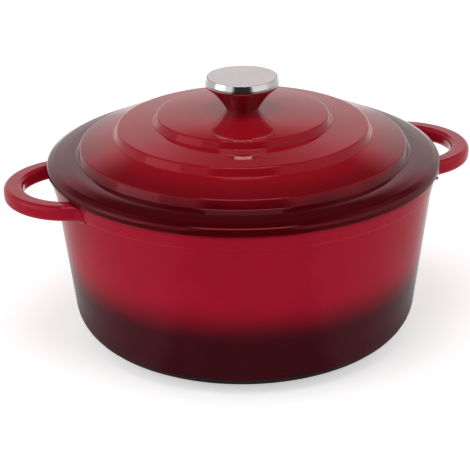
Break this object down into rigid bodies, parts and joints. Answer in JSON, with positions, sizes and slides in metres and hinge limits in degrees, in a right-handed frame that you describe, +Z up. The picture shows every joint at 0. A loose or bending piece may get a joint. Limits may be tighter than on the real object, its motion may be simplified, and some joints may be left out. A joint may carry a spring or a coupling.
{
  "type": "dutch oven",
  "caption": "Round enamelled cast iron dutch oven with two cast loop handles and a stepped lid that lifts off by a flared steel knob.",
  "frame": {"origin": "centre of the flat base, on the surface the pot stands on", "axes": "+Z up along the pot's axis; the two handles point along +X and -X; +Y is the back"},
  "size_m": [0.3244, 0.264, 0.1752],
  "materials": {
    "pot_enamel": "glossy red enamel fading to dark maroon at the base, over cast iron",
    "lid_enamel": "glossy red enamel with a dark maroon brim, over cast iron",
    "lining": "glossy cream enamel lining",
    "seal": "matt black heat-resistant ring",
    "polished_steel": "mirror-polished stainless steel",
    "brushed_steel": "circular-brushed stainless steel",
    "bush_steel": "turned steel",
    "screw_steel": "plain stainless steel",
    "washer_steel": "plain steel"
  },
  "bodies": {
    "pot": {"pot_casting": "pot_enamel", "pot_lining": "lining"},
    "lid": {"lid_casting": "lid_enamel", "lid_lining": "lining", "knob_seal": "seal", "knob_shell": "polished_steel", "knob_cap": "brushed_steel", "knob_bush": "bush_steel", "knob_screw": "screw_steel", "lock_washer": "washer_steel", "flat_washer": "washer_steel"}
  },
  "joints": [
    {"name": "lid_lift", "type": "slide", "parent": "pot", "child": "lid", "axis": [0, 0, 1], "range_m": [0, 0.15]}
  ]
}
